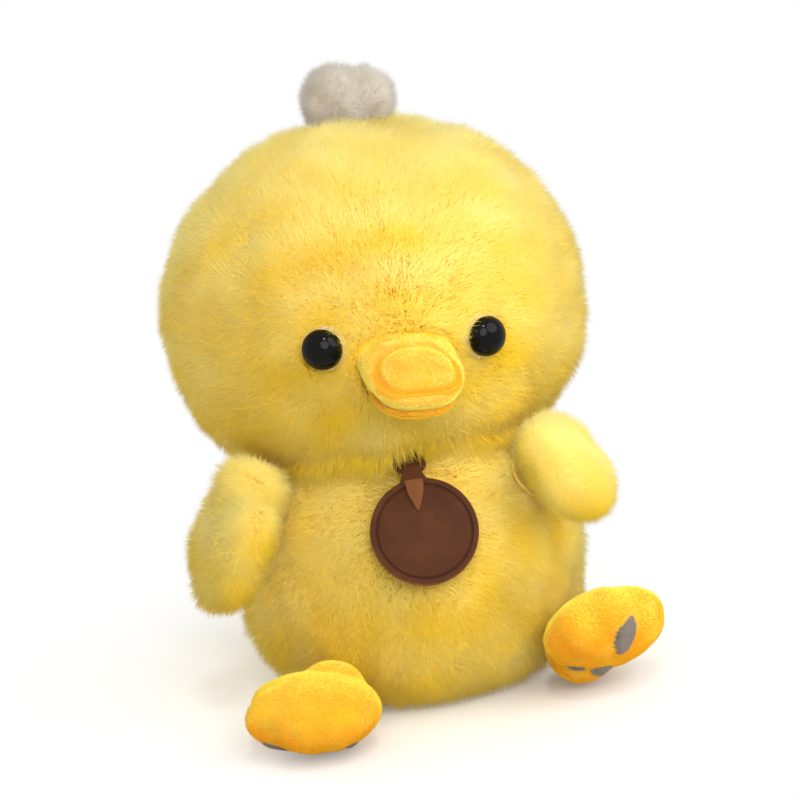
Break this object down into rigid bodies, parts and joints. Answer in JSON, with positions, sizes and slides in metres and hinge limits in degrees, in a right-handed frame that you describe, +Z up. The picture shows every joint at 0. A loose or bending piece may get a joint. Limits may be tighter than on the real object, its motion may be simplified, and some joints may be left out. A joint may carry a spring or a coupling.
{
  "type": "plush chick",
  "caption": "Seated plush chick with a big round head, a padded duck-like bill, a fluffy crown tuft, soft wings and feet, and a round leather tag hung at the neck.",
  "frame": {"origin": "centre of the flat seat panel that the chick rests on", "axes": "+Z up, the chick faces -Y, its own left is +X"},
  "size_m": [0.1589, 0.1718, 0.2189],
  "materials": {
    "yellow_fur": "deep soft faux fur",
    "orange_plush": "short velvety plush",
    "white_fur": "long fluffy fibre",
    "grey_pad": "embroidered felt",
    "fibre_fill": "loose polyester fibre",
    "bean_cloth": "plain woven cloth",
    "yellow_thread": "twisted sewing thread",
    "brown_leather": "waxed leather with a raw tan edge",
    "brown_cord": "waxed cord",
    "black_plastic": "polished",
    "white_plastic": "moulded"
  },
  "bodies": {
    "torso": {"body_cover": "yellow_fur", "seat_panel": "yellow_fur", "body_stuffing": "fibre_fill", "bean_pouch": "bean_cloth", "tag_hanger_loop": "brown_cord"},
    "neck": {"neck_seam_thread": "yellow_thread"},
    "head": {"head_cover": "yellow_fur", "head_stuffing": "fibre_fill", "left_eye": "black_plastic", "right_eye": "black_plastic", "left_eye_washer": "white_plastic", "right_eye_washer": "white_plastic", "upper_bill_cover": "orange_plush", "upper_bill_stuffing": "fibre_fill", "lower_bill": "orange_plush", "crown_tuft": "white_fur"},
    "tag": {"tag_leather": "brown_leather"},
    "left_shoulder": {"left_shoulder_thread": "yellow_thread"},
    "left_wing": {"left_wing_cover": "yellow_fur", "left_wing_stuffing": "fibre_fill"},
    "right_shoulder": {"right_shoulder_thread": "yellow_thread"},
    "right_wing": {"right_wing_cover": "yellow_fur", "right_wing_stuffing": "fibre_fill"},
    "left_foot": {"left_foot_cover": "orange_plush", "left_foot_stuffing": "fibre_fill", "left_sole_pad_1": "grey_pad", "left_sole_pad_2": "grey_pad", "left_sole_pad_3": "grey_pad"},
    "right_foot": {"right_foot_cover": "orange_plush", "right_foot_stuffing": "fibre_fill", "right_sole_pad_1": "grey_pad", "right_sole_pad_2": "grey_pad", "right_sole_pad_3": "grey_pad"}
  },
  "joints": [
    {"name": "head_turn", "type": "hinge", "parent": "torso", "child": "neck", "pos_m": [0, 0, 0.038], "axis": [0, 0, 1], "range_deg": [-6, 15], "stiffness_Nm_per_rad": 0.5},
    {"name": "head_nod", "type": "hinge", "parent": "neck", "child": "head", "pos_m": [0, 0, 0.038], "axis": [1, 0, 0], "range_deg": [-10, 1], "stiffness_Nm_per_rad": 1.5},
    {"name": "tag_lift", "type": "hinge", "parent": "torso", "child": "tag", "pos_m": [-0.00547, -0.04452, 0.08668], "axis": [-0.9925, 0.1219, 0], "range_deg": [0, 70]},
    {"name": "left_wing_swing", "type": "hinge", "parent": "torso", "child": "left_shoulder", "pos_m": [0.0474, -0.03838, 0.08043], "axis": [-0.638, 0.5166, -0.5711], "range_deg": [-76, 0], "stiffness_Nm_per_rad": 0.15},
    {"name": "left_wing_flap", "type": "hinge", "parent": "left_shoulder", "child": "left_wing", "pos_m": [0.0474, -0.03838, 0.08043], "axis": [-0.6873, -0.0475, 0.7248], "range_deg": [-32, 8], "stiffness_Nm_per_rad": 0.15},
    {"name": "right_wing_swing", "type": "hinge", "parent": "torso", "child": "right_shoulder", "pos_m": [-0.06001, -0.02066, 0.07662], "axis": [-0.8077, -0.2781, 0.5198], "range_deg": [-28, 35], "stiffness_Nm_per_rad": 0.15},
    {"name": "right_wing_flap", "type": "hinge", "parent": "right_shoulder", "child": "right_wing", "pos_m": [-0.06001, -0.02066, 0.07662], "axis": [-0.3256, 0.9455, 0], "range_deg": [-6, 34], "stiffness_Nm_per_rad": 0.15},
    {"name": "left_foot_lift", "type": "hinge", "parent": "torso", "child": "left_foot", "pos_m": [0.04557, -0.05062, 0.0148], "axis": [-0.7431, -0.6691, 0], "range_deg": [-30, 11], "stiffness_Nm_per_rad": 0.15},
    {"name": "right_foot_lift", "type": "hinge", "parent": "torso", "child": "right_foot", "pos_m": [-0.04378, -0.05218, 0.0148], "axis": [-0.766, 0.6428, 0], "range_deg": [0, 46], "stiffness_Nm_per_rad": 0.15}
  ]
}
